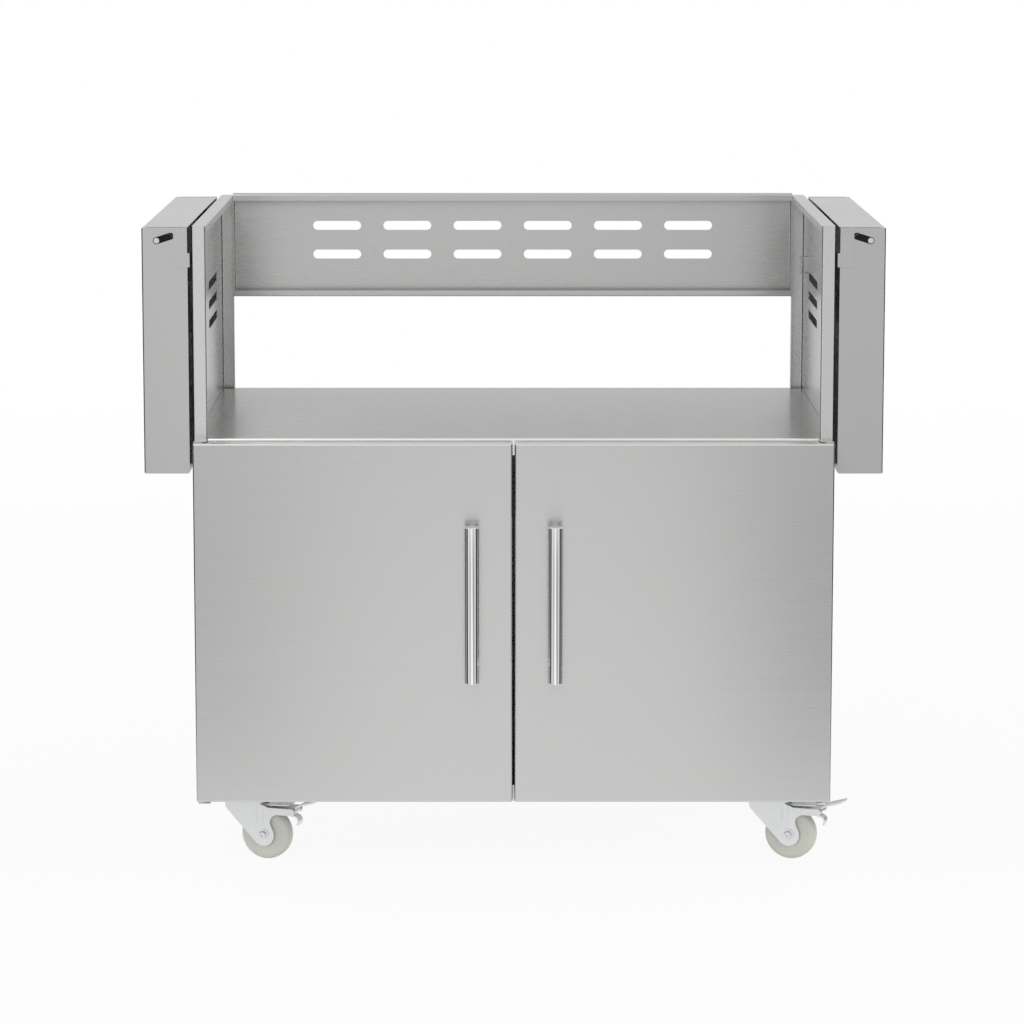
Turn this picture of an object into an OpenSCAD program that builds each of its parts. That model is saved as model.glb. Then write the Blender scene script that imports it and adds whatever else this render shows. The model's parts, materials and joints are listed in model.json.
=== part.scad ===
// Stainless grill cart: an open cradle for a drop-in grill over a two-door
// cabinet, with a drop-leaf shelf on each side and four swivel casters.
// Millimetres. X runs across the cart, Y from the doors to the back, Z up.
// The origin is on the floor under the middle of the cart.

/* [Cart body] */
// Width over the side panels
cart_w = 914; // [760:1:1200]
// Depth of the body behind the doors
body_d = 600; // [500:1:760]
// Height of the rim that the grill rests on
rim_z = 934; // [900:1:1000]
// Depth of the cradle from the rim down to the deck
cradle_depth = 304; // [270:1:320]
// Thickness of the sheet steel
sheet = 1.2; // [0.8:0.1:2]
// Inner radius of the bends in the sheet
bend_r = 1.6; // [1:0.1:2.4]
// Width of the flanges round each side panel
flange_w = 20; // [17:0.5:26]
// Width of the lips turned back from the upright flanges
return_w = 14; // [10:0.5:18]
// Height of the lip turned down under the rim
rim_lip = 11; // [8:0.5:16]

/* [Back] */
// Height of the slotted panel at the back of the cradle
back_panel_h = 158; // [130:1:190]
// Length of a vent slot in the back
slot_l = 75; // [50:1:85]
// Height of a vent slot in the back
slot_h = 14; // [8:0.5:20]
// Distance from one back slot to the next along a row
slot_pitch = 110; // [100:1:115]
// Distance between the two rows of back slots
slot_row_gap = 45; // [34:1:60]
// Number of back slots in a row
slots_per_row = 6; // [3:1:6]

/* [Side vents] */
// Length of a vent slot in a side panel
vent_l = 170; // [100:1:220]
// Height of a vent slot in a side panel
vent_h = 13; // [8:0.5:20]
// Distance from one side slot down to the next
vent_pitch = 29; // [24:1:40]
// Number of slots in each side panel
vents = 3; // [1:1:4]

/* [Doors] */
// Thickness of a door over its folded edges
door_t = 20; // [18:0.5:26]
// Gap between the closed doors and the body
door_gap = 4.5; // [4.3:0.1:7]
// Gap between the two doors
door_split = 3; // [2:0.1:6]
// Height of the bottom edge of the doors
door_z = 104; // [103.6:0.1:110]
// Distance from a door's outer edge to its pivot
pivot_inset = 7.5; // [7.2:0.1:7.8]
// Diameter of a door's pivot pin
pivot_d = 6; // [4:0.1:7]

/* [Handles] */
// Diameter of the handle bars
bar_d = 22; // [16:0.5:28]
// Length of the handle bars
bar_l = 226; // [140:1:300]
// Distance from a door's free edge to the middle of its bar
bar_inset = 58; // [40:1:90]
// Distance from the top of the doors down to the middle of the bars
bar_drop = 228; // [170:1:280]
// Gap between a door and its bar
bar_gap = 22; // [16:1:40]
// Diameter of the posts that hold the bars
post_d = 12; // [8:0.5:15]

/* [Side shelves] */
// Thickness of a shelf over its folded edges
shelf_t = 65; // [60:0.5:66]
// Reach of a raised shelf from its hinge edge
shelf_l = 352; // [280:1:420]
// Gap between a hanging shelf and the cart's side
shelf_gap = 6; // [5.6:0.1:8]
// Drop of a hanging shelf's top edge below the rim
shelf_drop = 3; // [2:0.1:5]
// Distance from a shelf's top face to its pivot pins
pin_depth = 21.5; // [20:0.1:23]
// Diameter of a shelf's pivot pins
pin_d = 8; // [6:0.1:9]
// Play of a pin across its slot
pin_play = 1; // [0.6:0.1:2]
// Travel of a shelf on its pins, along the slots
lift_travel = 21; // [14:0.5:22]
// Slope of the slots in a hanging shelf, in degrees
slot_slope = 18; // [12:1:22]

/* [Casters] */
// Diameter of the wheels
wheel_d = 76; // [68:0.5:77]
// Width of the wheels at the hub
hub_w = 29.4; // [26:0.2:32]
// Width of the tread
tread_w = 25; // [20:0.5:28]
// Height of a caster from the floor to the top of its plate
caster_h = 100; // [98:0.5:103]
// Distance from the swivel axis to the wheel's axle
trail = 25; // [22:0.5:30]
// Turn of the casters about their swivel axes as the cart stands
caster_yaw = -19; // [-40:1:40]
// Distance from the side of the cart to a swivel axis
caster_inset_x = 73; // [60:1:120]
// Distance from the front or back of the body to a swivel axis
caster_inset_y = 76; // [60:1:120]

/* [Hidden] */
// How far a cut runs past the face that it opens
over = 1;
// Gap between pieces that are screwed face to face beside each other
fit = 0.3;
// Radial gap of a pin in its bore
run = 0.05;
// Flat strips that make up one bend, and the turn of one strip of a wide arc
bend_steps = 4;
arc_step = 9;
$fn = 48;

// Places shared by the body and the doors
handle_reach = bar_gap + bar_d;
overall_d = handle_reach + door_t + door_gap + body_d;
door_y = handle_reach - overall_d / 2;
door_back_y = door_y + door_t;
body_y = door_back_y + door_gap;
back_y = body_y + body_d;
side_x = -cart_w / 2;
wall_x = side_x + sheet;
lip_x = side_x + flange_w;
floor_z = caster_h;
base_z = floor_z - sheet;
slot_cut = 2 * (sheet + bend_r);
deck_z = rim_z - cradle_depth;

// Deck and cabinet floor
edge_drop = 24;
door_head = 4;
door_top = deck_z - door_head;
door_w = (cart_w - door_split) / 2;
door_h = door_top - door_z;
door_corner_r = 3;

// Slotted back
back_lip = 9.5;
back_panel_z = rim_z - back_panel_h;
slot_drop = 48;
back_rise = 3;

// Side vents
vent_drop = 116;
vent_y_share = 0.66;

// Door pivots
tab_t = 2;
tab_leg_t = 1.6;
tab_leg_h = 26;
bush_flange_t = 1;
bush_flange_r = 7;
bush_wall = 1.5;
bush_l = 7;
pin_reach = 9;
pivot_x = side_x + pivot_inset;
pivot_y = door_y + door_t / 2;

// Door liner, catch and handle parts
liner_inset = 2;
catch_w = 70;
catch_h = 14;
catch_d = 16;
magnet_w = 24;
magnet_h = 8;
magnet_recess = 0.5;
strike_t = 1.5;
groove_w = 1.2;
groove_depth = 0.6;
cap_l = 21;
chamfer = 1.2;
screw_r = 2.5;
screw_head_r = 4.5;
screw_head_h = 2.5;
bar_x = -door_split / 2 - bar_inset;
bar_y = door_y - bar_gap - bar_d / 2;
bar_mid_z = door_top - bar_drop;

// Shelf bracket, in the plane of the shelf's end
ear_t = 2;
ear_w = 25.5;
ear_h = 56;
ear_gap = 2.6;
ear_return = 8;
plate_gap = 0.5;
arm_gap = 3;
arm_t = 2.5;
arm_nose_r = 9;
arm_taper_share = 0.8;
base_t = 1.6;
base_w = 42;
base_drop = 36;
base_h = 40;
stop_w = 14;
stop_gap = 0.3;
pin_head_r = 7;
pin_head_t = 2.5;
shelf_x = side_x - shelf_gap - shelf_t;
shelf_top = rim_z - shelf_drop;
pin_x = shelf_x + pin_depth;
pin_z = rim_z - pin_depth;
pin_drop = shelf_top - pin_z;
end_y = body_y + ear_t + plate_gap;
arm_y = end_y + sheet + arm_gap;
shelf_w = body_d - 2 * (ear_t + plate_gap);
notch_w = arm_gap + arm_t + fit + pin_head_t + plate_gap;
shelf_lip = 12;
rib_w = 60;
rib_h = 18;
rib_end_gap = 60;
rib_flange = 14;
bumper_r = 8;
bumper_inset = 110;

// Casters
plate_t = 3;
plate_l = 92;
plate_w = 64;
bolt_l = 75;
bolt_w = 45;
bolt_r = 4;
bolt_gap = 0.2;
bolt_head_r = 7;
bolt_head_h = 5;
bolt_nut_h = 6.5;
race_r = 23;
race_h = 4;
cup_r = 27;
cup_wall = 2.2;
king_r = 6;
king_head_r = 9;
king_head_h = 3;
fork_t = 2.5;
crown_drop = 13;
fork_top = caster_h - crown_drop;
fork_gap = 0.3;
fork_in = hub_w + 2 * fork_gap;
fork_out = fork_in + 2 * fork_t;
wheel_r = wheel_d / 2;
axle_r = 5;
axle_head_r = 6.2;
axle_head_h = 3.4;
axle_head_share = 0.74;
axle_socket_r = 2.8;
washer_r = 8.6;
washer_t = 1.2;
hub_r = 11;
tread_round = 9;
knuckle_r = 16.6;
heel_reach = 7.8;
heel_r = 9;
heel_u = -cup_r - heel_reach;
heel_drop = 7.3;
throat_r = 12;
throat_slope = 26;
neck_reach = 5;
crown_share = 0.45;
cheek_rib_shares = [0.62, 1];
cheek_rib_r = 1.4;
cheek_rib_rise = 0.7;
pedal_reach = 43.5;
pedal_u = trail + pedal_reach;
pedal_drop = 13;
pedal_z = fork_top - pedal_drop;
pedal_pin_r = 2.5;
pedal_hub_r = 5;
pedal_l = 40;
pedal_t = 3;
pedal_w = 24;
pedal_gap = 0.5;
pedal_under_shares = [[0, 0], [0.15, 0.13], [0.35, 0.23], [0.61, 0.3], [0.84, 0.37], [1, 0.46]];
claw_drop = 15;
claw_r = 8;
claw_t = 2.4;
claw_w = 16;
claw_turn = [112, -40];
leaf_t = 1.6;
leaf_lap = 8;
leaf_gap = 4.8;
leaf_clear = 3;
leaf_run = 4;
leaf_rise = 1.6;
caster_x = cart_w / 2 - caster_inset_x;
caster_front_y = body_y + caster_inset_y;
caster_back_y = back_y - caster_inset_y;

// Hose clip on the right side panel
clip_w = 14;
clip_h = 26;
clip_d = 16;
clip_t = 2;
clip_y_share = 0.74;
clip_drop = 84;

// Helpers for folded sheet

// One corner of an outline as a row of points, or the sharp corner itself
function corner(x, y, r, from) = r <= 0 ? [[x, y]] : [
    for (k = [0:bend_steps]) let (a = from + 90 * k / bend_steps) [x + r * cos(a), y + r * sin(a)]
];

// Points round a centre, in even steps from one angle to another
function arc(centre, r, from, to) = let (steps = ceil(abs(to - from) / arc_step)) [
    for (k = [0:steps]) let (a = from + (to - from) * k / steps) centre + r * [cos(a), sin(a)]
];

// A rectangle with its own radius at each corner, counted from the low corner
function outline(w, h, r) = concat(
    corner(r[0], r[0], r[0], 180),
    corner(w - r[1], r[1], r[1], 270),
    corner(w - r[2], h - r[2], r[2], 0),
    corner(r[3], h - r[3], r[3], 90)
);

// A block whose front face is at y = 0, with bent edges round it. behind gives
// the radius behind the low x, high x, low z and high z edge.
module bent_block(w, h, d, r, behind, face_r) {
    intersection() {
        linear_extrude(h) polygon(outline(w, d, [r, r, behind[1], behind[0]]));
        rotate([90, 0, 90]) linear_extrude(w) polygon(outline(d, h, [r, behind[2], behind[3], r]));
        translate([0, d, 0]) rotate([90, 0, 0]) linear_extrude(d)
            polygon(outline(w, h, [face_r, face_r, face_r, face_r]));
    }
}

// An open pan of folded sheet: its face is at y = 0 and it opens towards +Y.
// lips gives the width turned in at the low x, high x, low z and high z edge.
module pan(w, h, d, lips = [0, 0, 0, 0], face_r = 0) {
    turned = max(lips) > 0;
    outer_r = bend_r + sheet;
    depth = turned ? d - 2 * sheet : d - sheet + over;
    edge = [for (lip = lips) max(lip, sheet)];
    difference() {
        bent_block(w, h, d, outer_r, [for (lip = lips) lip > 0 ? outer_r : 0], face_r);
        translate([sheet, sheet, sheet])
            bent_block(w - 2 * sheet, h - 2 * sheet, depth, bend_r,
                [for (lip = lips) lip > 0 ? bend_r : 0], max(face_r - sheet, 0));
        if (turned)
            translate([edge[0], d / 2, edge[2]])
                cube([w - edge[0] - edge[1], d, h - edge[2] - edge[3]]);
    }
}

// A slot with round ends along x, cut through y, centred on the origin
module long_hole(l, h, depth) {
    rotate([90, 0, 0]) linear_extrude(depth, center = true) {
        square([l - h, h], center = true);
        for (s = [-1, 1]) translate([s * (l - h) / 2, 0]) circle(d = h);
    }
}

// Mirrors a left-hand piece to the right for side = 1
module on_side(side) {
    mirror([side > 0 ? 1 : 0, 0, 0]) children();
}

// Mirrors a front piece to the back of the body
module at_end(back) {
    mid_y = (body_y + back_y) / 2;
    translate([0, back ? 2 * mid_y : 0, 0]) mirror([0, back ? 1 : 0, 0]) children();
}

// Cart body

module side_panel(side) {
    color("silver") on_side(side) difference() {
        translate([side_x, back_y, base_z]) rotate([0, 0, -90])
            pan(body_d, rim_z - base_z, flange_w, [return_w, return_w, 0, rim_lip]);
        for (n = [0:vents - 1])
            translate([side_x, body_y + body_d * vent_y_share, rim_z - vent_drop - n * vent_pitch])
                rotate([0, 0, 90]) long_hole(vent_l, vent_h, slot_cut);
    }
}

// The back of the cradle, with its rim turned forward and two rows of slots
module upper_back_panel() {
    panel_w = 2 * (-lip_x - fit);
    color("silver") difference() {
        translate([panel_w / 2, back_y, back_panel_z]) rotate([0, 0, 180])
            pan(panel_w, back_panel_h + back_rise, flange_w, [0, 0, back_lip, rim_lip]);
        for (row = [0, 1], n = [0:slots_per_row - 1])
            translate([
                (n - (slots_per_row - 1) / 2) * slot_pitch,
                back_y,
                rim_z - slot_drop - row * slot_row_gap
            ]) long_hole(slot_l, slot_h, slot_cut);
    }
}

module lower_back_panel() {
    panel_w = 2 * (-lip_x - fit);
    panel_z = floor_z + edge_drop + fit;
    panel_h = deck_z - edge_drop - fit - panel_z;
    color("silver") translate([panel_w / 2, back_y, panel_z]) rotate([0, 0, 180])
        pan(panel_w, panel_h, return_w);
}

// A level sheet that fills the body between the side panels. Its edges bend
// down or up at the front and the back, between the upright lips.
module level_sheet(z, turn, side_gap) {
    inner = -wall_x - side_gap;
    outer = -lip_x - fit;
    bent = bend_r + sheet;
    front = body_y + return_w + fit;
    back = back_y - return_w - fit;
    translate([0, 0, z]) linear_extrude(sheet) polygon([
        [-outer, body_y + bent], [outer, body_y + bent], [outer, front], [inner, front],
        [inner, back], [outer, back], [outer, back_y - bent], [-outer, back_y - bent],
        [-outer, back], [-inner, back], [-inner, front], [-outer, front]
    ]);
    for (end = [false, true]) at_end(end)
        translate([-outer, body_y, turn < 0 ? z + sheet : z]) mirror([0, 0, turn < 0 ? 0 : 1])
            rotate([90, 0, 90]) linear_extrude(2 * outer) polygon(concat(
                [[0, -edge_drop]], arc([bent, -bent], bent, 180, 90),
                arc([bent, -bent], bend_r, 90, 180), [[sheet, -edge_drop]]
            ));
}

module deck() {
    color("gainsboro") level_sheet(deck_z - sheet, -1, fit);
}

module cabinet_floor() {
    color("silver") difference() {
        level_sheet(floor_z, 1, bend_r + fit);
        each_caster() each_bolt() cylinder(r = bolt_r + bolt_gap, h = 2 * floor_z);
    }
}

module door_catch() {
    top = deck_z - edge_drop - fit;
    color("dimgray") {
        difference() {
            translate([-catch_w / 2, body_y, top - catch_h]) cube([catch_w, catch_d, catch_h]);
            for (s = [-1, 1])
                translate([s * (catch_w - magnet_w) / 2 - magnet_w / 2, body_y - over, top - catch_h / 2])
                    translate([0, 0, -magnet_h / 2]) cube([magnet_w, over + magnet_recess, magnet_h]);
        }
        translate([-catch_w / 2, body_y + sheet + fit, top - catch_h])
            cube([catch_w, sheet, catch_h + edge_drop - sheet - bend_r]);
    }
}

// A small saddle that holds the gas hose against the right side panel
module hose_clip() {
    x = -wall_x - clip_d;
    hole_h = clip_h - 2 * clip_t;
    color("dimgray")
        translate([x, body_y + body_d * clip_y_share, rim_z - clip_drop - clip_h]) difference() {
            cube([clip_d, clip_w, clip_h]);
            translate([clip_t, -over, clip_t]) cube([clip_d, clip_w + 2 * over, hole_h]);
        }
}

// Fixed tabs above and below a door, each with its pivot pin
module door_hinges(side) {
    top_z = door_top + bush_flange_t + fit;
    low_z = door_z - bush_flange_t - fit - tab_t;
    tab_x = side_x + bend_r + sheet;
    tab_w = flange_w - bend_r - sheet - fit;
    tab_front = pivot_y - pivot_d;
    color("silver") on_side(side) {
        for (z = [low_z, top_z])
            translate([tab_x, tab_front, z]) cube([tab_w, body_y - tab_front, tab_t]);
        translate([tab_x, body_y - tab_leg_t, low_z]) cube([tab_w, tab_leg_t, tab_leg_h]);
        translate([tab_x, body_y - tab_leg_t, top_z + tab_t - tab_leg_h])
            cube([tab_w, tab_leg_t, tab_leg_h]);
        translate([pivot_x, pivot_y, low_z]) cylinder(d = pivot_d, h = pin_reach);
        translate([pivot_x, pivot_y, top_z + tab_t - pin_reach]) cylinder(d = pivot_d, h = pin_reach);
    }
}

// Doors

module door(side) {
    bush_r = pivot_d / 2 + run + bush_wall;
    color("silver") on_side(side) difference() {
        translate([side_x, door_y, door_z]) pan(door_w, door_h, door_t, face_r = door_corner_r);
        translate([pivot_x, pivot_y, door_z - over]) cylinder(r = bush_r + run, h = door_h + 2 * over);
        for (s = [-1, 1])
            translate([bar_x, door_y - over, bar_mid_z + s * (bar_l - cap_l) / 2]) rotate([-90, 0, 0])
                cylinder(r = screw_r + run, h = sheet + 2 * over);
    }
}

// The inner skin that closes a door's back
module door_liner(side) {
    clear_w = pivot_inset + bush_flange_r + liner_inset;
    color("silver") on_side(side)
        translate([side_x + clear_w, door_back_y - sheet, door_z + liner_inset])
            cube([door_w - clear_w - sheet - fit, sheet, door_h - 2 * liner_inset]);
}

module door_bushings(side) {
    bush_r = pivot_d / 2 + run + bush_wall;
    color("ivory") on_side(side)
        for (top = [0, 1]) translate([pivot_x, pivot_y, top ? door_top : door_z]) mirror([0, 0, top])
            difference() {
                union() {
                    cylinder(r = bush_r, h = bush_l);
                    translate([0, 0, -bush_flange_t]) cylinder(r = bush_flange_r, h = bush_flange_t);
                }
                translate([0, 0, -bush_flange_t - over])
                    cylinder(d = pivot_d + 2 * run, h = bush_l + bush_flange_t + 2 * over);
            }
}

module door_strike(side) {
    top = deck_z - edge_drop - fit;
    color("gray") on_side(side)
        translate([-(catch_w - magnet_w) / 2 - magnet_w / 2, door_back_y, top - catch_h])
            cube([magnet_w, strike_t, catch_h]);
}

// A round bar with a ringed cap at each end
module handle(side) {
    color("whitesmoke") on_side(side) translate([bar_x, bar_y, bar_mid_z]) rotate_extrude()
        polygon([
            [0, -bar_l / 2], [bar_d / 2 - chamfer, -bar_l / 2], [bar_d / 2, chamfer - bar_l / 2],
            [bar_d / 2, cap_l - bar_l / 2], [bar_d / 2 - groove_depth, cap_l - bar_l / 2],
            [bar_d / 2 - groove_depth, cap_l + groove_w - bar_l / 2],
            [bar_d / 2, cap_l + groove_w - bar_l / 2],
            [bar_d / 2, bar_l / 2 - cap_l - groove_w],
            [bar_d / 2 - groove_depth, bar_l / 2 - cap_l - groove_w],
            [bar_d / 2 - groove_depth, bar_l / 2 - cap_l], [bar_d / 2, bar_l / 2 - cap_l],
            [bar_d / 2, bar_l / 2 - chamfer], [bar_d / 2 - chamfer, bar_l / 2], [0, bar_l / 2]
        ]);
}

module handle_posts(side) {
    color("whitesmoke") on_side(side)
        for (s = [-1, 1]) translate([bar_x, 0, bar_mid_z + s * (bar_l - cap_l) / 2])
            difference() {
                translate([0, door_y, 0]) rotate([90, 0, 0]) cylinder(d = post_d, h = bar_gap + bar_d / 2);
                translate([0, bar_y, -bar_d]) cylinder(d = bar_d, h = 2 * bar_d);
                translate([0, door_y + over, 0]) rotate([90, 0, 0])
                    cylinder(r = screw_r + run, h = bar_gap / 2 + over);
            }
}

module handle_screws(side) {
    color("gray") on_side(side)
        for (s = [-1, 1]) translate([bar_x, 0, bar_mid_z + s * (bar_l - cap_l) / 2]) {
            translate([0, door_y + sheet, 0]) rotate([-90, 0, 0])
                cylinder(r = screw_head_r, h = screw_head_h);
            translate([0, door_y + sheet, 0]) rotate([90, 0, 0])
                cylinder(r = screw_r, h = sheet + bar_gap / 2 - fit);
        }
}

// Side shelves, drawn as the left one hangs

// Where a pin lies in the shelf at the far end of its travel
slot_dx = lift_travel * cos(slot_slope);
slot_dz = lift_travel * sin(slot_slope);

module pin_slot() {
    slot_w = pin_d + 2 * pin_play;
    translate([pin_x + slot_dx / 2, body_y + body_d / 2, pin_z + slot_dz / 2])
        rotate([0, -slot_slope, 0])
            long_hole(lift_travel + slot_w, slot_w, 2 * body_d);
}

module shelf(side) {
    color("silver") on_side(side) difference() {
        translate([shelf_x, end_y + shelf_w, shelf_top - shelf_l]) rotate([0, 0, -90])
            pan(shelf_w, shelf_l, shelf_t, [0, 0, shelf_lip, 0]);
        pin_slot();
        for (back = [false, true]) at_end(back)
            translate([pin_x - pin_drop + arm_nose_r / 2, end_y + sheet, shelf_top - sheet - over])
                cube([shelf_t + shelf_gap, notch_w, sheet + 2 * over]);
    }
}

// A stiffener welded inside the shelf's top sheet
module shelf_rib(side) {
    color("silver") on_side(side)
        translate([shelf_x + sheet, end_y + rib_end_gap, shelf_top - shelf_l / 2])
            rotate([-90, 0, 0]) linear_extrude(shelf_w - 2 * rib_end_gap) difference() {
                union() {
                    translate([0, -rib_w / 2]) square([rib_h, rib_w]);
                    translate([0, -rib_w / 2 - rib_flange]) square([sheet, rib_w + 2 * rib_flange]);
                }
                translate([-over, sheet - rib_w / 2])
                    square([rib_h - sheet + over, rib_w - 2 * sheet]);
            }
}

// The two shoulder pins that a shelf turns and slides on
module shelf_pins(side) {
    color("gainsboro") on_side(side) for (back = [false, true]) at_end(back) {
        translate([pin_x, end_y, pin_z]) rotate([-90, 0, 0])
            cylinder(d = pin_d, h = arm_y + arm_t + fit - end_y);
        translate([pin_x, arm_y + arm_t + fit, pin_z]) rotate([-90, 0, 0])
            cylinder(r = pin_head_r, h = pin_head_t);
    }
}

// A bracket with a cover ear in front of the shelf's end, an arm behind it
// for the pin, and a stop that the raised shelf's hinge edge drops against.
// The ear stands clear of the side panel and is joined to the base behind.
module shelf_bracket(side, back) {
    base_top = shelf_top - base_drop;
    ear_x = side_x - ear_w;
    base_x = side_x - ear_gap - base_t;
    raised_x = pin_x + pin_drop;
    stop_top = pin_z - pin_drop - over;
    stop_low = pin_z - (shelf_t - pin_depth) + over;
    color("silver") on_side(side) at_end(back) difference() {
        union() {
            translate([ear_x, body_y, shelf_top - ear_h]) cube([ear_w - shelf_gap, ear_t, ear_h]);
            translate([ear_x, body_y, shelf_top - ear_h])
                cube([ear_w - ear_gap, ear_t, ear_h - base_drop]);
            translate([base_x, body_y, shelf_top - ear_h])
                cube([base_t, ear_return + base_t, ear_h - base_drop]);
            translate([base_x, body_y + ear_return, base_top - base_h])
                cube([side_x - base_x, base_w - ear_return, base_h]);
            translate([0, arm_y + arm_t, 0]) rotate([90, 0, 0]) linear_extrude(arm_t) {
                translate([pin_x, pin_z]) circle(r = arm_nose_r);
                polygon([
                    [pin_x, pin_z + arm_nose_r],
                    [pin_x + pin_drop, pin_z + arm_nose_r * arm_taper_share],
                    [base_x, base_top], [side_x, base_top],
                    [side_x, base_top - base_h], [base_x, base_top - base_h],
                    [raised_x + stop_gap, stop_low],
                    [raised_x + stop_gap, stop_top],
                    [pin_x, pin_z - arm_nose_r]
                ]);
            }
            translate([raised_x + stop_gap, arm_y + arm_t - over, stop_low])
                cube([arm_t, stop_w, stop_top - stop_low]);
        }
        translate([pin_x, arm_y - over, pin_z]) rotate([-90, 0, 0])
            cylinder(r = pin_d / 2 + run, h = arm_t + 2 * over);
    }
}

// Rubber buttons that the hanging shelf's free edge leans on
module bumpers(side) {
    color("black") on_side(side) for (back = [false, true]) at_end(back)
        translate([side_x, body_y + bumper_inset, shelf_top - shelf_l + shelf_lip / 2])
            rotate([0, -90, 0]) cylinder(r1 = bumper_r, r2 = bumper_r - chamfer, h = shelf_gap - fit);
}

// Casters, drawn at the origin with the wheel trailing along +X

module each_caster() {
    for (x = [-caster_x, caster_x], y = [caster_front_y, caster_back_y]) translate([x, y, 0]) children();
}

module each_bolt() {
    for (x = [-1, 1], y = [-1, 1]) translate([x * bolt_l / 2, y * bolt_w / 2, 0]) children();
}

module place_caster(right, back, turned = true) {
    translate([right ? caster_x : -caster_x, back ? caster_back_y : caster_front_y, 0])
        rotate([0, 0, turned ? caster_yaw : 0]) children();
}

// The fixed plate with its ball race and king pin
module caster_plate(right, back) {
    plate_z = caster_h - plate_t;
    race_z = plate_z - race_h;
    king_z = fork_top - fork_t - fit - king_head_h;
    color("lightgray") place_caster(right, back, false) difference() {
        union() {
            translate([-plate_l / 2, -plate_w / 2, plate_z]) cube([plate_l, plate_w, plate_t]);
            translate([0, 0, race_z]) cylinder(r1 = race_r - race_h / 2, r2 = race_r, h = race_h);
            translate([0, 0, king_z]) cylinder(r = king_r, h = caster_h - king_z - plate_t);
            translate([0, 0, king_z]) cylinder(r = king_head_r, h = king_head_h);
        }
        each_bolt() translate([0, 0, plate_z - over])
            cylinder(r = bolt_r + bolt_gap, h = plate_t + 2 * over);
    }
}

module caster_bolts() {
    head_z = caster_h - plate_t - bolt_head_h;
    nut_z = floor_z + sheet;
    color("gainsboro") each_caster() each_bolt() {
        translate([0, 0, head_z]) cylinder(r = bolt_head_r, h = bolt_head_h, $fn = 6);
        translate([0, 0, head_z]) cylinder(r = bolt_r, h = nut_z + bolt_nut_h - head_z);
        translate([0, 0, nut_z]) cylinder(r = bolt_head_r, h = bolt_nut_h, $fn = 6);
    }
}

// The side view of a fork: a heel under the crown, a knuckle round the axle,
// and an arm over the wheel. Straight edges run tangent from arc to arc.
module fork_cheek() {
    heel = [heel_u + heel_r, fork_top - heel_drop];
    axle = [trail, wheel_r];
    heel_turn = 360 + atan2(axle[1] - heel[1], axle[0] - heel[0])
        - acos((heel_r - knuckle_r) / norm(axle - heel));
    throat_z = pedal_z - pedal_hub_r - throat_r;
    throat_u = trail + (knuckle_r + throat_r - (throat_z - wheel_r) * sin(throat_slope)) / cos(throat_slope);
    polygon(concat(
        [[heel_u, fork_top]],
        arc(heel, heel_r, 180, heel_turn),
        arc(axle, knuckle_r, heel_turn, 360 + throat_slope),
        arc([throat_u, throat_z], throat_r, 180 + throat_slope, 90),
        arc([pedal_u, pedal_z], pedal_hub_r, -90, 90),
        [[cup_r + neck_reach, pedal_z + pedal_hub_r], [cup_r * crown_share, fork_top]]
    ));
}

// The brake's spring leaf, from under the crown out over the tread to the
// pedal
module brake_leaf() {
    lap_u = king_head_r + leaf_clear;
    lap_z = fork_top - fork_t - leaf_t;
    dip_z = 2 * wheel_r + leaf_gap;
    under = [
        [lap_u, lap_z], [lap_u + leaf_lap, lap_z], [cup_r + leaf_run, dip_z],
        [pedal_u - leaf_run, dip_z + leaf_rise]
    ];
    above = [for (n = [len(under) - 1:-1:0]) under[n] + [0, leaf_t]];
    polygon(concat(under, above));
}

module caster_fork(right, back) {
    braked = !back;
    color("gainsboro") place_caster(right, back) difference() {
        union() {
            for (s = [-1, 1])
                translate([0, s * (fork_in + fork_t) / 2 + fork_t / 2, 0]) rotate([90, 0, 0])
                    linear_extrude(fork_t) fork_cheek();
            for (s = [-1, 1], share = cheek_rib_shares)
                translate([
                    trail * share, s * (fork_out / 2 + cheek_rib_rise - cheek_rib_r), wheel_r + knuckle_r
                ]) cylinder(r = cheek_rib_r, h = fork_top - 2 * fork_t - wheel_r - knuckle_r);
            translate([heel_u, -fork_out / 2, fork_top - fork_t])
                cube([cup_r * crown_share - heel_u, fork_out, fork_t]);
            translate([0, 0, fork_top - fork_t]) cylinder(r = cup_r, h = fork_t);
            if (braked) translate([0, pedal_w / 2, 0]) rotate([90, 0, 0]) linear_extrude(pedal_w)
                brake_leaf();
            translate([0, 0, fork_top - fork_t / 2]) difference() {
                cylinder(r = cup_r, h = caster_h - plate_t - fork_gap - fork_top + fork_t / 2);
                translate([0, 0, fork_t / 2]) cylinder(r = cup_r - cup_wall, h = caster_h);
            }
        }
        translate([0, 0, fork_top - 2 * fork_t]) cylinder(r = king_r + run, h = 3 * fork_t);
        translate([trail, fork_out, wheel_r]) rotate([90, 0, 0])
            cylinder(r = axle_r + run, h = 2 * fork_out);
        if (braked) translate([pedal_u, fork_out, pedal_z]) rotate([90, 0, 0])
            cylinder(r = pedal_pin_r + run, h = 2 * fork_out);
    }
}

// A solid nylon wheel with a rounded tread and a raised hub
module caster_wheel(right, back) {
    color("beige") place_caster(right, back) translate([trail, 0, wheel_r]) rotate([90, 0, 0])
        difference() {
            union() {
                cylinder(r = hub_r, h = hub_w, center = true);
                cylinder(r = wheel_r - tread_round, h = tread_w, center = true);
                cylinder(r = wheel_r, h = tread_w - 2 * tread_round, center = true);
                for (s = [-1, 1]) translate([0, 0, s * (tread_w / 2 - tread_round)])
                    rotate_extrude() translate([wheel_r - tread_round, 0]) circle(r = tread_round);
            }
            cylinder(r = axle_r + run, h = hub_w + 2 * over, center = true);
        }
}

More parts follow.
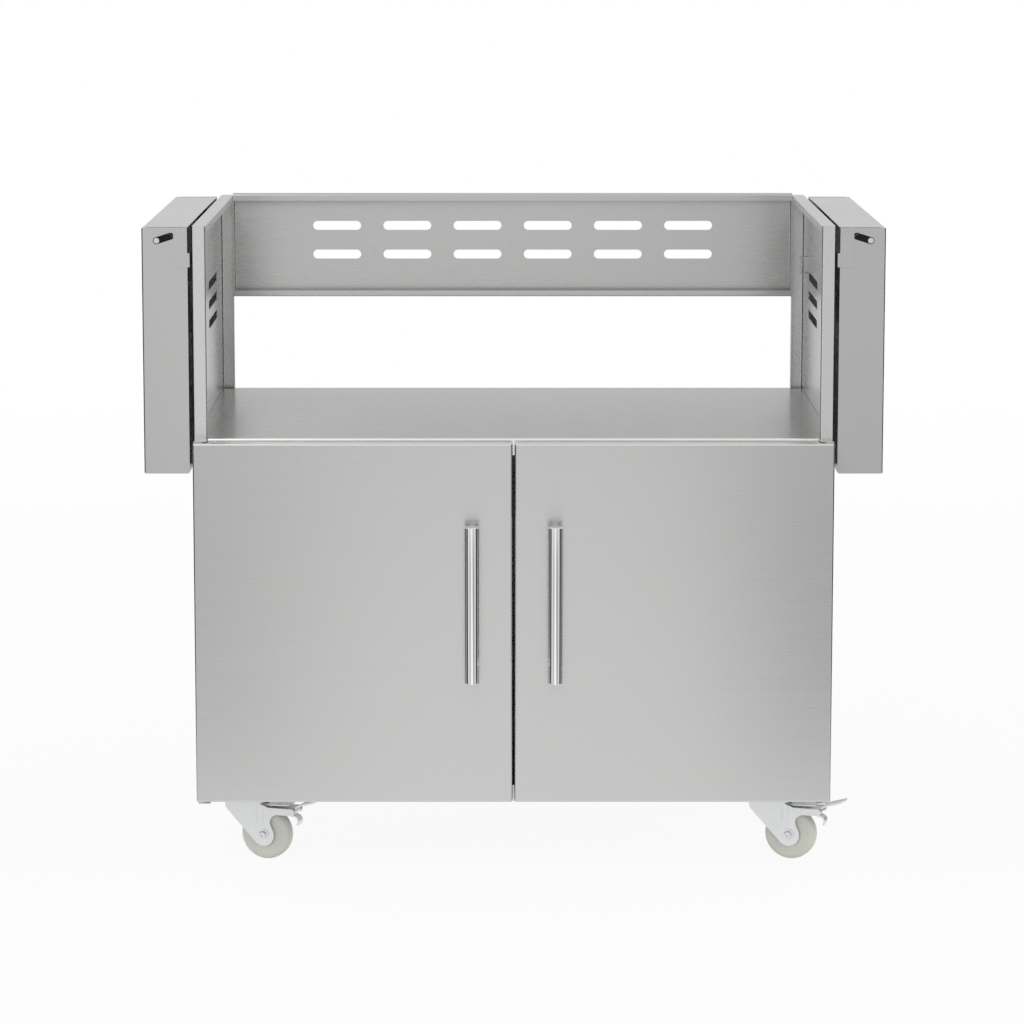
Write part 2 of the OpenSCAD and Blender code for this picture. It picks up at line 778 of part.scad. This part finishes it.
// An axle bolt with a socket head at the front end and a nut at the back
module caster_axle(right, back) {
    head_z = fork_out / 2 + washer_t;
    color("silver") place_caster(right, back) translate([trail, 0, wheel_r]) rotate([90, 0, 0])
        difference() {
            union() {
                cylinder(r = axle_r, h = fork_out, center = true);
                cylinder(r = washer_r, h = 2 * head_z, center = true);
                translate([0, 0, head_z])
                    cylinder(r1 = axle_head_r, r2 = axle_head_r * axle_head_share, h = axle_head_h);
                translate([0, 0, -head_z - axle_head_h])
                    cylinder(r = axle_head_r, h = axle_head_h, $fn = 6);
            }
            difference() {
                cylinder(r = washer_r + over, h = fork_out, center = true);
                cylinder(r = axle_r, h = fork_out + 2 * over, center = true);
            }
            translate([0, 0, head_z + axle_head_h / 2])
                cylinder(r = axle_socket_r, h = axle_head_h, $fn = 6);
        }
}

// A brake pedal with its tongue up. Its claw swings onto the tread when the
// tongue is pressed down.
module caster_pedal(right) {
    tip_r = pedal_w / 2;
    under = [for (p = pedal_under_shares) p * pedal_l];
    above = [for (n = [len(under) - 1:-1:0]) under[n] + [0, pedal_t]];
    centre = [0, -claw_drop];
    color("gainsboro") place_caster(right, false) translate([pedal_u, 0, pedal_z]) {
        rotate([90, 0, 0]) cylinder(r = pedal_pin_r, h = fork_out, center = true);
        intersection() {
            translate([0, pedal_w / 2, 0]) rotate([90, 0, 0]) linear_extrude(pedal_w) {
                circle(r = pedal_hub_r - pedal_gap);
                polygon(concat(under, above));
            }
            union() {
                translate([-pedal_l, -pedal_w / 2, -pedal_l])
                    cube([2 * pedal_l - tip_r, pedal_w, 2 * pedal_l]);
                translate([pedal_l - tip_r, 0, -pedal_l]) cylinder(r = tip_r, h = 2 * pedal_l);
            }
        }
        translate([0, claw_w / 2, 0]) rotate([90, 0, 0]) linear_extrude(claw_w) {
            polygon(concat(
                arc(centre, claw_r + claw_t / 2, claw_turn[0], claw_turn[1]),
                arc(centre, claw_r - claw_t / 2, claw_turn[1], claw_turn[0])
            ));
            translate([-claw_t / 2, claw_r - claw_drop]) square([claw_t, claw_drop - claw_r]);
        }
    }
}

side_panel(-1);  // left_side_panel
side_panel(1);  // right_side_panel
upper_back_panel();
lower_back_panel();
deck();
cabinet_floor();
door_catch();
hose_clip();
door_hinges(-1);  // left_door_hinges
door_hinges(1);  // right_door_hinges
shelf_bracket(-1, false);  // left_front_bracket
shelf_bracket(-1, true);  // left_rear_bracket
shelf_bracket(1, false);  // right_front_bracket
shelf_bracket(1, true);  // right_rear_bracket
bumpers(-1);  // left_bumpers
bumpers(1);  // right_bumpers
door(-1);  // left_door
door_liner(-1);  // left_door_liner
door_bushings(-1);  // left_door_bushings
door_strike(-1);  // left_door_strike
handle(-1);  // left_handle
handle_posts(-1);  // left_handle_posts
handle_screws(-1);  // left_handle_screws
door(1);  // right_door
door_liner(1);  // right_door_liner
door_bushings(1);  // right_door_bushings
door_strike(1);  // right_door_strike
handle(1);  // right_handle
handle_posts(1);  // right_handle_posts
handle_screws(1);  // right_handle_screws
shelf(-1);  // left_shelf
shelf_rib(-1);  // left_shelf_rib
shelf_pins(-1);  // left_shelf_pins
shelf(1);  // right_shelf
shelf_rib(1);  // right_shelf_rib
shelf_pins(1);  // right_shelf_pins
caster_plate(false, false);  // front_left_plate
caster_plate(true, false);  // front_right_plate
caster_plate(false, true);  // back_left_plate
caster_plate(true, true);  // back_right_plate
caster_bolts();
caster_fork(false, false);  // front_left_fork
caster_fork(true, false);  // front_right_fork
caster_fork(false, true);  // back_left_fork
caster_fork(true, true);  // back_right_fork
caster_wheel(false, false);  // front_left_wheel
caster_wheel(true, false);  // front_right_wheel
caster_wheel(false, true);  // back_left_wheel
caster_wheel(true, true);  // back_right_wheel
caster_axle(false, false);  // front_left_axle
caster_axle(true, false);  // front_right_axle
caster_axle(false, true);  // back_left_axle
caster_axle(true, true);  // back_right_axle
caster_pedal(false);  // front_left_pedal
caster_pedal(true);  // front_right_pedal
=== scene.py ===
"""Looks of the stainless grill cart: brushed and polished steel, zinc, nylon and rubber.

Every length is in metres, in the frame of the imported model: X across the cart,
Y from the doors to the back, Z up from the floor.
"""
import json
import math

import bpy
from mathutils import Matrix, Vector

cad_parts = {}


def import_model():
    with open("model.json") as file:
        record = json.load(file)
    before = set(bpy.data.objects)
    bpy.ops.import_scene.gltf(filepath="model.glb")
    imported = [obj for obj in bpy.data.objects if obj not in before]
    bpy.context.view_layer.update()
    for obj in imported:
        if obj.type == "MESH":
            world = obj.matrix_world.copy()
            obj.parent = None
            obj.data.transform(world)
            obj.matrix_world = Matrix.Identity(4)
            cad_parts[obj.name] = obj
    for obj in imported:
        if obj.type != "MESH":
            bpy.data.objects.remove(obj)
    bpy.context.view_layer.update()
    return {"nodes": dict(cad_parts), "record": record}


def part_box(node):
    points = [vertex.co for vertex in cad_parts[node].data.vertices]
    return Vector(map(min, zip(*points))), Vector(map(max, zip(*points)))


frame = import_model()
nodes = frame["nodes"]

# Photograph's frame and the camera that fits it
IMAGE_PX = 1024
FOCAL_PX = 3968.0
CENTRE_PX = 502.44
CAMERA_AT = (-0.01592, -5.8812, 1.3885)
CAMERA_PITCH = 0.15279
SENSOR_MM = 36.0
CLIP_END = 100.0

# Linear greys of the finishes
STEEL = (0.61, 0.61, 0.605)
POLISHED = (0.93, 0.93, 0.93)
ZINC = (0.76, 0.77, 0.77)
NYLON = (0.72, 0.72, 0.655)
RUBBER = (0.02, 0.02, 0.02)
DARK_STEEL = (0.09, 0.09, 0.09)

# Part of a noise's range that a finish varies over
NOISE_LOW, NOISE_HIGH = 0.3, 0.7

# Brushed steel: scales of its streaks and clouds, and how far they vary the finish
STREAKS_ALONG, STREAKS_ACROSS = 7.0, 1100.0
CLOUDS = (2.6, 2.6, 2.6)
BRUSHED_ROUGH = 0.27
STREAK_ROUGH = 0.02
CLOUD_ROUGH = 0.015
STREAK_TINT = 0.015
STREAK_BUMP = (0.03, 0.00001)
HIGHLIGHT_STRETCH = 0.85

# Band along an edge, and the shares of the steel's grey in it: painted highlights on the bends and
# column faces, and painted shade that darkens the rest of the brackets behind their ears
EDGE_W, EDGE_BLUR = 0.003, 0.0005
DECK_BEND_PAINTED_HIGHLIGHT = 1.6
DOOR_BEND_PAINTED_HIGHLIGHT = 1.3
COLUMN_FACE_PAINTED_HIGHLIGHT = 1.2
PAINTED_SHADE_BEHIND_EARS = 0.04

# Brightness of the room to gloss, by the share of a half turn from the front
ROOM = (
    (0.0, 1.0), (0.05, 0.97), (0.1, 0.92), (0.2, 0.82), (0.32, 0.76), (0.35, 0.01), (0.465, 0.01),
    (0.478, 0.52), (0.522, 0.52), (0.535, 0.01), (0.74, 0.01), (0.79, 0.66), (1.0, 0.72),
)
FRONT = ((0.0, 1.0), (0.17, 1.0), (0.28, 0.0), (1.0, 0.0))
OVERHEAD = 0.72
SKYLINE = 0.52

# Heights of a direction, from 0 level to 1 straight up, between which the room changes
SKYLINE_RISE = (0.0, 0.3)
OVERHEAD_RISE = (0.45, 0.8)
PLAIN_RISE = (-0.1, 0.6)

# Painted pool of light on the floor, seen only by gloss: its brightness from the left, x = -1 m, to
# the right
POOL = (
    (0.0, 0.58), (0.22, 0.6), (0.33, 0.93), (0.4, 1.0),
    (0.65, 1.0), (0.71, 0.82), (0.77, 0.45), (1.0, 0.4),
)

# The floor, its brightness to the eye near the cart, and the distances from the
# front between which it changes
FLOOR_SIZE = 40.0
FLOOR_GREY = (0.97, 0.97, 0.97, 1.0)
FLOOR_ROUGH = 0.9
FLOOR_KEEP = 0.91
FRONT_Y = -0.3
WHITE_AWAY = (2.0, 6.0)
POOL_AWAY = (2.6, 4.0)
FLAGS_AWAY = (0.9, 1.5)
SKYLINE_AWAY = (5.0, 10.0)

# Lamps: name, place, size, watts, and the point that they light
LAMPS = (
    ("key", (-1.6, -3.4, 3.2), (2.2, 1.6), 17.0),
    ("fill", (2.4, -2.8, 2.2), (1.6, 1.6), 7.0),
)
AIM = (0.0, 0.0, 0.5)

# Directions that a sheet is brushed in
ACROSS = (1.0, 0.003, 0.002)
ALONG = (0.003, 1.0, 0.002)
UPRIGHT = (0.003, 0.002, 1.0)


class Shader:
    """A small helper that adds and joins the nodes of one material."""

    def __init__(self, name):
        self.material = bpy.data.materials.new(name)
        self.material.use_nodes = True
        self.tree = self.material.node_tree
        self.surface = self.tree.nodes["Principled BSDF"]

    def add(self, kind, values=None, **properties):
        made = self.tree.nodes.new("ShaderNode" + kind)
        for key, value in properties.items():
            setattr(made, key, value)
        for key, value in (values or {}).items():
            made.inputs[key].default_value = value
        return made

    def join(self, source, output, target, socket):
        self.tree.links.new(source.outputs[output], target.inputs[socket])

    def set(self, **values):
        for key, value in values.items():
            self.surface.inputs[key.replace("_", " ")].default_value = value

    def place(self, scale):
        """The object's own coordinates, stretched by a scale along each axis."""
        coordinates = self.add("TexCoord")
        mapping = self.add("Mapping", {"Scale": scale})
        self.join(coordinates, "Object", mapping, "Vector")
        return mapping

    def noise(self, scale, detail=2.0, roughness=0.5):
        made = self.add("TexNoise", {"Scale": 1.0, "Detail": detail, "Roughness": roughness})
        self.join(self.place(scale), "Vector", made, "Vector")
        return made

    def spread(self, source, low, high):
        """Takes a noise's middle range to a range of values."""
        made = self.add(
            "MapRange", {"From Min": NOISE_LOW, "From Max": NOISE_HIGH, "To Min": low, "To Max": high}
        )
        self.join(source, "Fac", made, "Value")
        return made

    def tint(self, source, colour, share):
        """Varies a colour by a share up and down with a noise."""
        value = self.spread(source, 1.0 - share, 1.0 + share)
        made = self.add("VectorMath", operation="SCALE")
        made.inputs[0].default_value = colour
        self.join(value, "Result", made, "Scale")
        self.join(made, "Vector", self.surface, "Base Color")

    def rough(self, source, low, high):
        self.join(self.spread(source, low, high), "Result", self.surface, "Roughness")

    def bump(self, source, strength, depth):
        made = self.add("Bump", {"Strength": strength, "Distance": depth})
        self.join(source, "Fac", made, "Height")
        self.join(made, "Normal", self.surface, "Normal")

    def brush(self, grain):
        """Turns the stretched highlight so that it lies across the grain."""
        direction = self.add("CombineXYZ", {"X": grain[0], "Y": grain[1], "Z": grain[2]})
        turned = self.add(
            "VectorTransform", vector_type="VECTOR", convert_from="OBJECT", convert_to="WORLD"
        )
        geometry = self.add("NewGeometry")
        cross = self.add("VectorMath", operation="CROSS_PRODUCT")
        self.join(direction, "Vector", turned, "Vector")
        self.join(geometry, "Normal", cross, 0)
        self.join(turned, "Vector", cross, 1)
        self.join(cross, "Vector", self.surface, "Tangent")


def maths(tree, operation, *values):
    """A Math node over numbers and sockets."""
    made = tree.nodes.new("ShaderNodeMath")
    made.operation = operation
    for i, value in enumerate(values):
        if isinstance(value, float):
            made.inputs[i].default_value = value
        else:
            tree.links.new(value, made.inputs[i])
    return made.outputs["Value"]


def ease(tree, source, start, end, low, high):
    """Takes a value smoothly from low to high between start and end."""
    made = tree.nodes.new("ShaderNodeMapRange")
    made.interpolation_type = "SMOOTHSTEP"
    for key, value in {"From Min": start, "From Max": end, "To Min": low, "To Max": high}.items():
        made.inputs[key].default_value = value
    tree.links.new(source, made.inputs["Value"])
    return made.outputs["Result"]


def ramp(tree, source, stops):
    """A brightness that follows a value through a list of stops."""
    made = tree.nodes.new("ShaderNodeValToRGB")
    stop = made.color_ramp.elements
    for at, level in stops[1:-1]:
        stop.new(at).color = (level, level, level, 1.0)
    for i, (at, level) in ((0, stops[0]), (-1, stops[-1])):
        stop[i].position = at
        stop[i].color = (level, level, level, 1.0)
    tree.links.new(source, made.inputs["Fac"])
    return made.outputs["Color"]


def blend(tree, factor, first, second):
    """Two numbers or sockets mixed by the value of a socket."""
    made = tree.nodes.new("ShaderNodeMix")
    for key, value in (("Factor", factor), ("A", first), ("B", second)):
        if isinstance(value, float):
            made.inputs[key].default_value = value
        else:
            tree.links.new(value, made.inputs[key])
    return made.outputs["Result"]


def axes(tree, output):
    """The X, Y and Z of one output of the texture coordinates, by their letters."""
    coordinates = tree.nodes.new("ShaderNodeTexCoord")
    split = tree.nodes.new("ShaderNodeSeparateXYZ")
    tree.links.new(coordinates.outputs[output], split.inputs["Vector"])
    return {axis: split.outputs[axis] for axis in "XYZ"}


def grain_scale(grain, along, across):
    """The scale of a streaked noise: few changes along the grain, many across it."""
    return tuple(along if abs(g) > 0.5 else across for g in grain)


def brushed_steel(name, grain):
    """Sheet with fine streaks along its grain and a highlight stretched across them."""
    s = Shader(name)
    s.set(Metallic=1.0, Anisotropic=HIGHLIGHT_STRETCH)
    streaks = s.noise(grain_scale(grain, STREAKS_ALONG, STREAKS_ACROSS), detail=3.0, roughness=0.6)
    clouds = s.noise(CLOUDS)
    s.tint(streaks, STEEL, STREAK_TINT)
    rough = s.add("Math", operation="ADD")
    fine = s.spread(streaks, BRUSHED_ROUGH - STREAK_ROUGH, BRUSHED_ROUGH + STREAK_ROUGH)
    s.join(fine, "Result", rough, 0)
    s.join(s.spread(clouds, -CLOUD_ROUGH, CLOUD_ROUGH), "Result", rough, 1)
    s.join(rough, "Value", s.surface, "Roughness")
    s.bump(streaks, *STREAK_BUMP)
    s.brush(grain)
    return s.material


def painted_edge_steel(name, grain, axis, edge, inward, near, far):
    """Brushed steel whose tint is scaled by one share near an edge and another behind it, to paint a
    highlight along the edge or shade behind it.
    """
    material = brushed_steel(name, grain)
    tree = material.node_tree
    surface = tree.nodes["Principled BSDF"]
    tint = surface.inputs["Base Color"].links[0].from_socket
    reach = maths(tree, "SUBTRACT", axes(tree, "Object")[axis], edge)
    depth = maths(tree, "MULTIPLY", reach, inward)
    shade = ease(tree, depth, EDGE_W - EDGE_BLUR, EDGE_W + EDGE_BLUR, near, far)
    scaled = tree.nodes.new("ShaderNodeVectorMath")
    scaled.operation = "SCALE"
    tree.links.new(tint, scaled.inputs[0])
    tree.links.new(shade, scaled.inputs["Scale"])
    tree.links.new(scaled.outputs["Vector"], surface.inputs["Base Color"])
    return material


def polished_steel():
    """Bright bar, polished along its length."""
    s = Shader("polished_steel")
    s.set(Metallic=1.0)
    streaks = s.noise((1500.0, 1500.0, 30.0))
    s.tint(streaks, POLISHED, 0.02)
    s.rough(streaks, 0.03, 0.06)
    s.brush(UPRIGHT)
    return s.material


def mottled(name, colour, scale, detail, tint, rough, bump, gain=0.5, **values):
    """A finish whose grey, gloss and surface all vary with one even noise."""
    s = Shader(name)
    s.set(**values)
    grain = s.noise((scale, scale, scale), detail=detail, roughness=gain)
    s.tint(grain, colour, tint)
    s.rough(grain, *rough)
    s.bump(grain, *bump)
    return s.material


def nylon():
    """Moulded wheel: a fine grain in the gloss and slow clouds in the colour."""
    s = Shader("white_nylon")
    s.set(IOR=1.53, Subsurface_Weight=0.12, Subsurface_Scale=0.004)
    grain = s.noise((160.0, 160.0, 160.0), detail=3.0)
    clouds = s.noise((30.0, 30.0, 30.0))
    s.tint(clouds, NYLON, 0.03)
    s.rough(grain, 0.36, 0.46)
    s.bump(grain, 0.1, 0.0001)
    return s.material


def finishes():
    """The materials of the record's slots, apart from brushed steel."""
    return {
        "polished_steel": polished_steel(),
        "zinc_plate": mottled(
            "zinc_plate", ZINC, scale=90.0, detail=4.0, tint=0.05, rough=(0.3, 0.42),
            bump=(0.15, 0.0001), gain=0.6, Metallic=0.85,
        ),
        "white_nylon": nylon(),
        "black_rubber": mottled(
            "black_rubber", RUBBER, scale=700.0, detail=3.0, tint=0.1, rough=(0.5, 0.65),
            bump=(0.3, 0.0002),
        ),
        "dark_steel": mottled(
            "dark_steel", DARK_STEEL, scale=300.0, detail=3.0, tint=0.08, rough=(0.35, 0.5),
            bump=(0.15, 0.0001), Metallic=0.6,
        ),
    }


def painted_edge_sheets():
    """Brushed steel with a painted highlight or painted shade in a band along one edge, by the end of
    a node's name.
    """
    front_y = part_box("left_front_bracket")[0][1]
    rear_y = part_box("left_rear_bracket")[1][1]
    column_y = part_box("left_side_panel")[0][1]
    deck_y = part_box("deck")[0][1]
    door_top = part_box("left_door")[1][2]
    rows = (
        # painted shade: each bracket is darkened to near black behind its ear
        ("front_bracket", "steel_front_bracket", ALONG, "Y", front_y, 1.0, 1.0, PAINTED_SHADE_BEHIND_EARS),
        ("rear_bracket", "steel_rear_bracket", ALONG, "Y", rear_y, -1.0, 1.0, PAINTED_SHADE_BEHIND_EARS),
        # painted highlight: the column's front face is made lighter
        ("side_panel", "steel_column", ALONG, "Y", column_y, 1.0, COLUMN_FACE_PAINTED_HIGHLIGHT, 1.0),
        # painted highlight: a bright line along the deck's front bend
        ("deck", "steel_deck", ACROSS, "Y", deck_y, 1.0, DECK_BEND_PAINTED_HIGHLIGHT, 1.0),
        # painted highlight: a bright line along each door's top bend
        ("_door", "steel_door", ACROSS, "Z", door_top, -1.0, DOOR_BEND_PAINTED_HIGHLIGHT, 1.0),
    )
    return {end: painted_edge_steel(*row) for end, *row in rows}


def dress():
    """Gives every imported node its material, by its record slot and how its sheet lies."""
    across = brushed_steel("steel_brushed_across", ACROSS)
    along = brushed_steel("steel_brushed_along", ALONG)
    by_slot = finishes()
    by_end = painted_edge_sheets()
    for part in frame["record"]["subparts"]:
        name = part["node"]
        node = nodes[name]
        slot = part["material_slot"]
        steel = next((by_end[end] for end in by_end if name.endswith(end)), None)
        steel = steel or (along if "shelf" in name else across)
        node.data.materials.clear()
        node.data.materials.append(by_slot.get(slot, steel))


def camera():
    data = bpy.data.cameras.new("camera")
    data.sensor_width = SENSOR_MM
    data.lens = SENSOR_MM * FOCAL_PX / IMAGE_PX
    data.shift_x = (IMAGE_PX / 2 - CENTRE_PX) / IMAGE_PX
    data.clip_end = CLIP_END
    made = bpy.data.objects.new("camera", data)
    bpy.context.scene.collection.objects.link(made)
    made.location = CAMERA_AT
    made.rotation_euler = (math.pi / 2 - CAMERA_PITCH, 0.0, 0.0)
    bpy.context.scene.camera = made


def room_around(tree, x, y):
    """The room's brightness to gloss in a direction, and how far that is the front, -Y."""
    aside = maths(tree, "ABSOLUTE", x)
    turn = maths(tree, "ARCTAN2", aside, maths(tree, "MULTIPLY", y, -1.0))
    share = maths(tree, "DIVIDE", turn, math.pi)
    return ramp(tree, share, ROOM), ramp(tree, share, FRONT)


def world():
    """A white room with dark flags at its sides, as polished steel is lit in a studio.

    It is plain white to the eye. Gloss sees a bright front, a dark flag either side of a
    dimmer side window, and a duller skyline; other light sees a room a little darker overhead.
    """
    made = bpy.data.worlds.new("room")
    made.use_nodes = True
    bpy.context.scene.world = made
    tree = made.node_tree
    background = tree.nodes["Background"]
    x, y, z = axes(tree, "Generated").values()
    level, front = room_around(tree, x, y)
    low = blend(tree, front, 1.0, ease(tree, z, *SKYLINE_RISE, SKYLINE, 1.0))
    around = maths(tree, "MULTIPLY", level, low)
    gloss = blend(tree, ease(tree, z, *OVERHEAD_RISE, 0.0, 1.0), around, OVERHEAD)
    plain = ease(tree, z, *PLAIN_RISE, 1.0, OVERHEAD)
    path = tree.nodes.new("ShaderNodeLightPath")
    unseen = blend(tree, path.outputs["Is Glossy Ray"], plain, gloss)
    seen = blend(tree, path.outputs["Is Camera Ray"], unseen, 1.0)
    tree.links.new(seen, background.inputs["Strength"])
    background.inputs["Color"].default_value = (1.0, 1.0, 1.0, 1.0)


def floor():
    """A white floor that looks as bright as the room and keeps a faint shadow.

    Gloss sees a painted glow on it: a painted pool of light before the doors, the room's dark flags
    painted on as shade, and a duller distance.
    """
    mesh = bpy.data.meshes.new("floor")
    h = FLOOR_SIZE / 2
    mesh.from_pydata([(-h, -h, 0), (h, -h, 0), (h, h, 0), (-h, h, 0)], [], [(0, 1, 2, 3)])
    made = bpy.data.objects.new("floor", mesh)
    bpy.context.scene.collection.objects.link(made)
    material = bpy.data.materials.new("floor")
    material.use_nodes = True
    tree = material.node_tree
    surface = tree.nodes["Principled BSDF"]
    surface.inputs["Base Color"].default_value = FLOOR_GREY
    surface.inputs["Roughness"].default_value = FLOOR_ROUGH

    place = axes(tree, "Object")
    x, y = place["X"], maths(tree, "SUBTRACT", place["Y"], FRONT_Y)
    aside = maths(tree, "MULTIPLY_ADD", x, 0.5, 0.5)
    squares = [maths(tree, "MULTIPLY", value, value) for value in (x, y)]
    away = maths(tree, "SQRT", maths(tree, "ADD", *squares))
    keep = ease(tree, away, *WHITE_AWAY, FLOOR_KEEP, 1.0)
    level, front = room_around(tree, x, y)
    # painted light: the floor's glow to gloss is shaped by place into a pool, dark flags and a dimmer
    # distance
    near = maths(tree, "MULTIPLY", front, ease(tree, away, *POOL_AWAY, 1.0, 0.0))
    pool = blend(tree, near, 1.0, ramp(tree, aside, POOL))
    flags = blend(tree, ease(tree, away, *FLAGS_AWAY, 0.0, 1.0), 1.0, level)
    distance = blend(tree, front, 1.0, ease(tree, away, *SKYLINE_AWAY, 1.0, SKYLINE))
    gloss = maths(tree, "MULTIPLY", maths(tree, "MULTIPLY", pool, flags), distance)

    path = tree.nodes.new("ShaderNodeLightPath")
    glossy = path.outputs["Is Glossy Ray"]
    glow = tree.nodes.new("ShaderNodeEmission")
    tree.links.new(blend(tree, glossy, 1.0, gloss), glow.inputs["Strength"])
    seen = maths(tree, "MAXIMUM", path.outputs["Is Camera Ray"], path.outputs["Is Transmission Ray"])
    plain = maths(tree, "MAXIMUM", glossy, maths(tree, "MULTIPLY", seen, keep))
    mix = tree.nodes.new("ShaderNodeMixShader")
    tree.links.new(plain, mix.inputs["Fac"])
    tree.links.new(surface.outputs["BSDF"], mix.inputs[1])
    tree.links.new(glow.outputs["Emission"], mix.inputs[2])
    tree.links.new(mix.outputs["Shader"], tree.nodes["Material Output"].inputs["Surface"])
    mesh.materials.append(material)


def lamp(name, at, size, watts):
    data = bpy.data.lights.new(name, "AREA")
    data.shape = "RECTANGLE"
    data.size, data.size_y = size
    data.energy = watts
    made = bpy.data.objects.new(name, data)
    bpy.context.scene.collection.objects.link(made)
    made.location = at
    aim = Vector(AIM) - Vector(at)
    made.rotation_euler = aim.to_track_quat("-Z", "Y").to_euler()


camera()
world()
floor()
for row in LAMPS:
    lamp(*row)
dress()

bpy.context.scene.view_settings.view_transform = "Standard"
